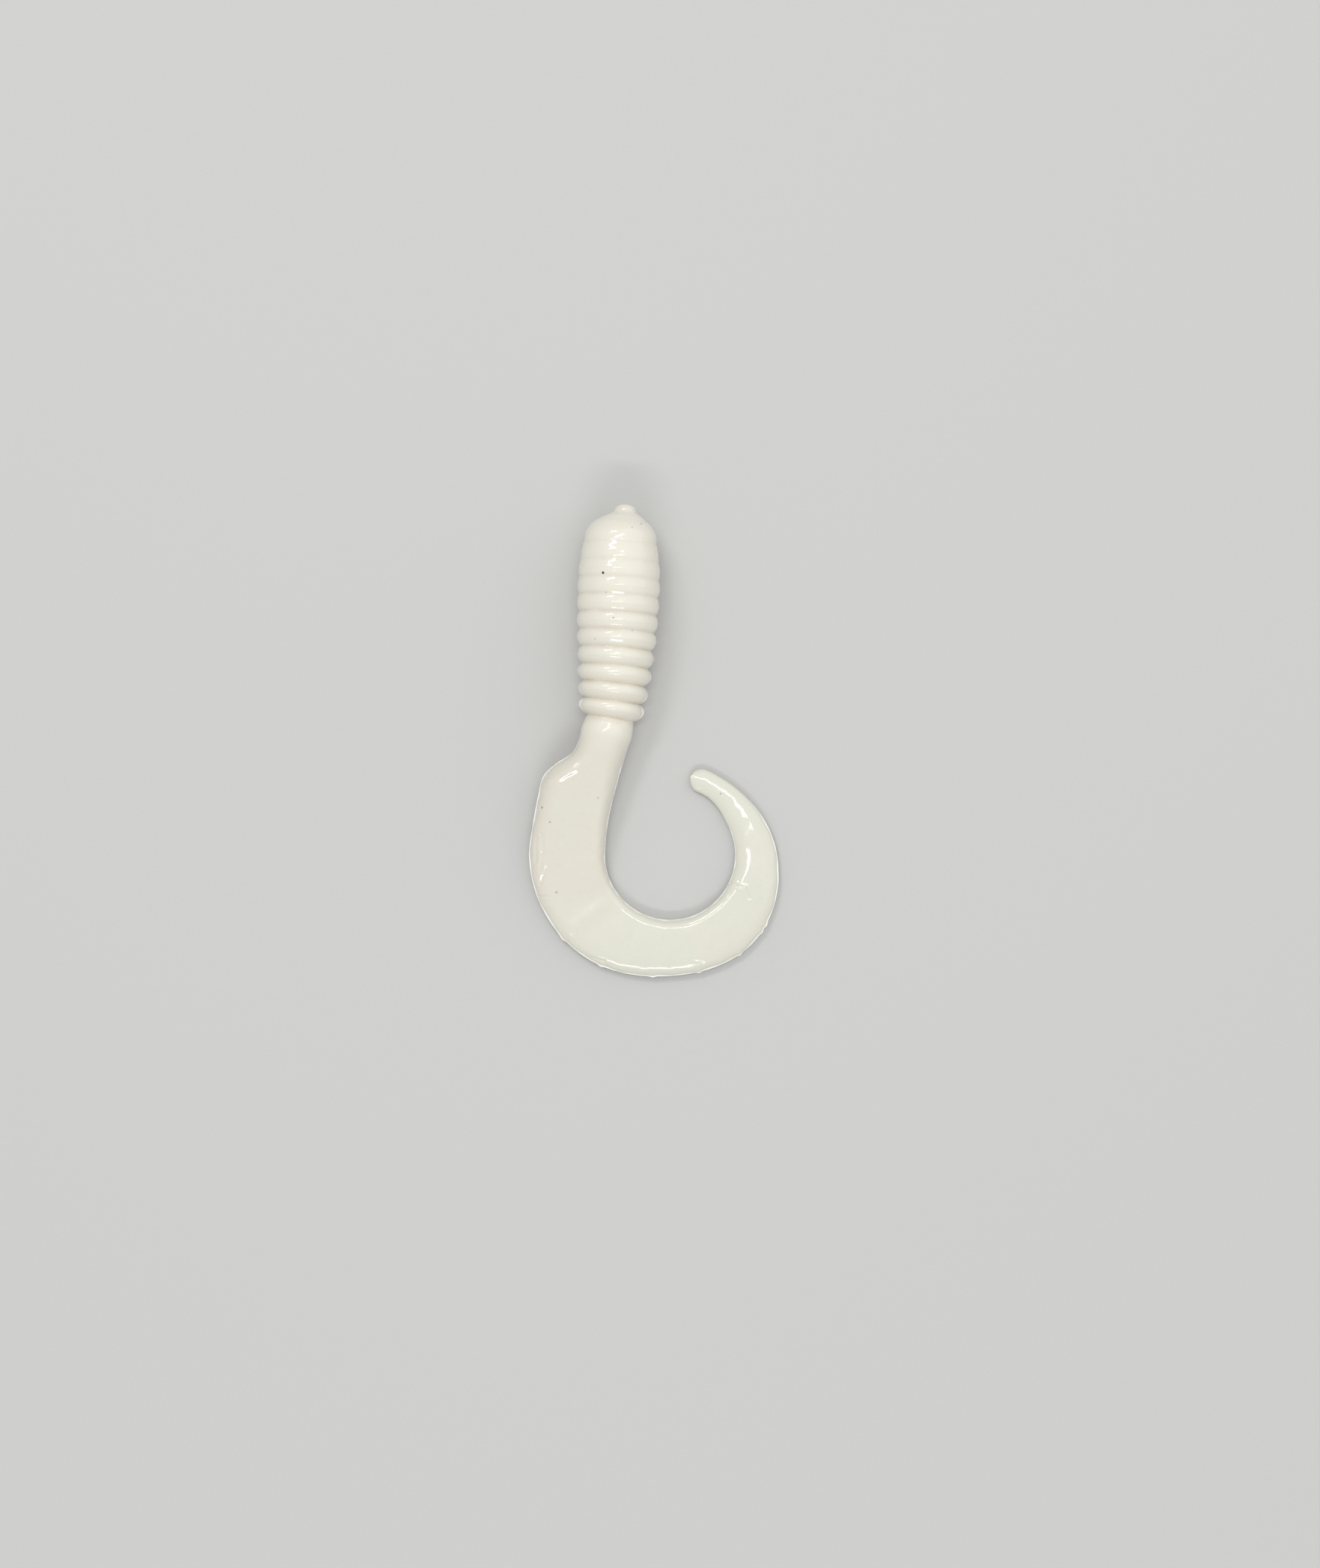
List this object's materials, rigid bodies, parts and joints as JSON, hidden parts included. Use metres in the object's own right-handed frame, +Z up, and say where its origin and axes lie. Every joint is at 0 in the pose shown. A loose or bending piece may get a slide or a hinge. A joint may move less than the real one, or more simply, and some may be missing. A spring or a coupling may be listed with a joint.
{
  "type": "soft plastic grub lure",
  "caption": "Soft plastic curly-tail grub fishing lure with a round nose, a ringed body and a flat sickle-shaped tail.",
  "frame": {"origin": "centre of the bounding box in plan, on the surface that the lure lies on", "axes": "+Z up, +Y along the body towards the nose, +X the side that the tail curls round to; the lure lies on its belly"},
  "size_m": [0.0265, 0.05, 0.0087],
  "materials": {
    "plastisol": "glossy, slightly translucent pearl-white soft plastic"
  },
  "bodies": {
    "nose": {"nose": "plastisol"},
    "rib_01": {"rib_01": "plastisol"},
    "rib_02": {"rib_02": "plastisol"},
    "rib_03": {"rib_03": "plastisol"},
    "rib_04": {"rib_04": "plastisol"},
    "rib_05": {"rib_05": "plastisol"},
    "rib_06": {"rib_06": "plastisol"},
    "rib_07": {"rib_07": "plastisol"},
    "rib_08": {"rib_08": "plastisol"},
    "rib_09": {"rib_09": "plastisol"},
    "rib_10": {"rib_10": "plastisol"},
    "stem": {"stem": "plastisol"},
    "tail_root": {"tail_root": "plastisol"},
    "tail_paddle": {"tail_paddle": "plastisol"},
    "tail_curl_01": {"tail_curl_01": "plastisol"},
    "tail_curl_02": {"tail_curl_02": "plastisol"},
    "tail_curl_03": {"tail_curl_03": "plastisol"},
    "tail_curl_04": {"tail_curl_04": "plastisol"},
    "tail_curl_05": {"tail_curl_05": "plastisol"},
    "tail_tip": {"tail_tip": "plastisol"}
  },
  "joints": [
    {"name": "body_bend_1", "type": "hinge", "parent": "nose", "child": "rib_01", "pos_m": [-0.00349, 0.0207, 0.00435], "axis": [0.001, 0.001, 1], "range_deg": [-8, 8], "stiffness_Nm_per_rad": 0.006},
    {"name": "body_arch_1", "type": "hinge", "parent": "rib_01", "child": "rib_02", "pos_m": [-0.00355, 0.01886, 0.00435], "axis": [-0.9984, 0.0559, 0], "range_deg": [-8, 8], "stiffness_Nm_per_rad": 0.0076},
    {"name": "body_bend_2", "type": "hinge", "parent": "rib_02", "child": "rib_03", "pos_m": [-0.00361, 0.01703, 0.00435], "axis": [0.001, 0.001, 1], "range_deg": [-8, 8], "stiffness_Nm_per_rad": 0.0082},
    {"name": "body_arch_2", "type": "hinge", "parent": "rib_03", "child": "rib_04", "pos_m": [-0.00367, 0.0152, 0.00434], "axis": [-0.9983, 0.0587, 0], "range_deg": [-8, 8], "stiffness_Nm_per_rad": 0.0081},
    {"name": "body_bend_3", "type": "hinge", "parent": "rib_04", "child": "rib_05", "pos_m": [-0.00375, 0.01337, 0.0043], "axis": [0.001, 0.001, 1], "range_deg": [-8, 8], "stiffness_Nm_per_rad": 0.0075},
    {"name": "body_arch_3", "type": "hinge", "parent": "rib_05", "child": "rib_06", "pos_m": [-0.00383, 0.01154, 0.00421], "axis": [-0.9976, 0.0693, 0], "range_deg": [-8, 8], "stiffness_Nm_per_rad": 0.0067},
    {"name": "body_bend_4", "type": "hinge", "parent": "rib_06", "child": "rib_07", "pos_m": [-0.00393, 0.00971, 0.00407], "axis": [0.001, 0.001, 1], "range_deg": [-8, 8], "stiffness_Nm_per_rad": 0.0056},
    {"name": "body_arch_4", "type": "hinge", "parent": "rib_07", "child": "rib_08", "pos_m": [-0.00405, 0.00788, 0.00389], "axis": [-0.9957, 0.0928, 0], "range_deg": [-8, 8], "stiffness_Nm_per_rad": 0.0045},
    {"name": "body_bend_5", "type": "hinge", "parent": "rib_08", "child": "rib_09", "pos_m": [-0.00419, 0.00605, 0.00367], "axis": [0.001, 0.001, 1], "range_deg": [-8, 8], "stiffness_Nm_per_rad": 0.0033},
    {"name": "body_arch_5", "type": "hinge", "parent": "rib_09", "child": "rib_10", "pos_m": [-0.00436, 0.00422, 0.0034], "axis": [-0.9909, 0.1343, 0], "range_deg": [-8, 8], "stiffness_Nm_per_rad": 0.0023},
    {"name": "body_arch_6", "type": "hinge", "parent": "rib_10", "child": "stem", "pos_m": [-0.00455, 0.00238, 0.00308], "axis": [-0.9866, 0.1633, 0], "range_deg": [-8, 8], "stiffness_Nm_per_rad": 0.0017},
    {"name": "body_bend_6", "type": "hinge", "parent": "stem", "child": "tail_root", "pos_m": [-0.0053, -0.00035, 0.00307], "axis": [0.001, 0.001, 1], "range_deg": [-8, 8], "stiffness_Nm_per_rad": 0.0013},
    {"name": "tail_wag", "type": "hinge", "parent": "tail_root", "child": "tail_paddle", "pos_m": [-0.00783, -0.00447, 0.00262], "axis": [-0.9769, 0.2135, 0], "range_deg": [-15, 15], "stiffness_Nm_per_rad": 0.00062},
    {"name": "tail_uncurl_1", "type": "hinge", "parent": "tail_paddle", "child": "tail_curl_01", "pos_m": [-0.00855, -0.00731, 0.00225], "axis": [0.001, 0.001, -1], "range_deg": [-4, 25], "stiffness_Nm_per_rad": 0.0026},
    {"name": "tail_uncurl_2", "type": "hinge", "parent": "tail_curl_01", "child": "tail_curl_02", "pos_m": [-0.00857, -0.01547, 0.00111], "axis": [0.001, 0.001, -1], "range_deg": [-4, 25], "stiffness_Nm_per_rad": 0.0014},
    {"name": "tail_flutter", "type": "hinge", "parent": "tail_curl_02", "child": "tail_curl_03", "pos_m": [0.00072, -0.02203, 0.00085], "axis": [-0.1045, -0.9945, 0], "range_deg": [-15, 15], "stiffness_Nm_per_rad": 0.000018},
    {"name": "tail_uncurl_3", "type": "hinge", "parent": "tail_curl_03", "child": "tail_curl_04", "pos_m": [0.00432, -0.02165, 0.00085], "axis": [0.001, 0.001, -1], "range_deg": [-4, 25], "stiffness_Nm_per_rad": 0.00051},
    {"name": "tail_uncurl_4", "type": "hinge", "parent": "tail_curl_04", "child": "tail_curl_05", "pos_m": [0.01018, -0.0169, 0.00085], "axis": [0.001, 0.001, -1], "range_deg": [-4, 25], "stiffness_Nm_per_rad": 0.00026},
    {"name": "tail_uncurl_5", "type": "hinge", "parent": "tail_curl_05", "child": "tail_tip", "pos_m": [0.01027, -0.00959, 0.0007], "axis": [0.001, 0.001, -1], "range_deg": [-4, 25], "stiffness_Nm_per_rad": 0.000086}
  ],
  "couplings": [
    {"joint": "body_bend_2", "follows": "body_bend_1", "ratio": 1},
    {"joint": "body_arch_2", "follows": "body_arch_1", "ratio": 1},
    {"joint": "body_bend_3", "follows": "body_bend_1", "ratio": 1},
    {"joint": "body_arch_3", "follows": "body_arch_1", "ratio": 1},
    {"joint": "body_bend_4", "follows": "body_bend_1", "ratio": 1},
    {"joint": "body_arch_4", "follows": "body_arch_1", "ratio": 1},
    {"joint": "body_bend_5", "follows": "body_bend_1", "ratio": 1},
    {"joint": "body_arch_5", "follows": "body_arch_1", "ratio": 1},
    {"joint": "body_arch_6", "follows": "body_arch_1", "ratio": 1},
    {"joint": "body_bend_6", "follows": "body_bend_1", "ratio": 1},
    {"joint": "tail_uncurl_2", "follows": "tail_uncurl_1", "ratio": 1},
    {"joint": "tail_uncurl_3", "follows": "tail_uncurl_1", "ratio": 1},
    {"joint": "tail_uncurl_4", "follows": "tail_uncurl_1", "ratio": 1},
    {"joint": "tail_uncurl_5", "follows": "tail_uncurl_1", "ratio": 1},
    {"joint": "tail_flutter", "follows": "tail_wag", "ratio": 1}
  ]
}
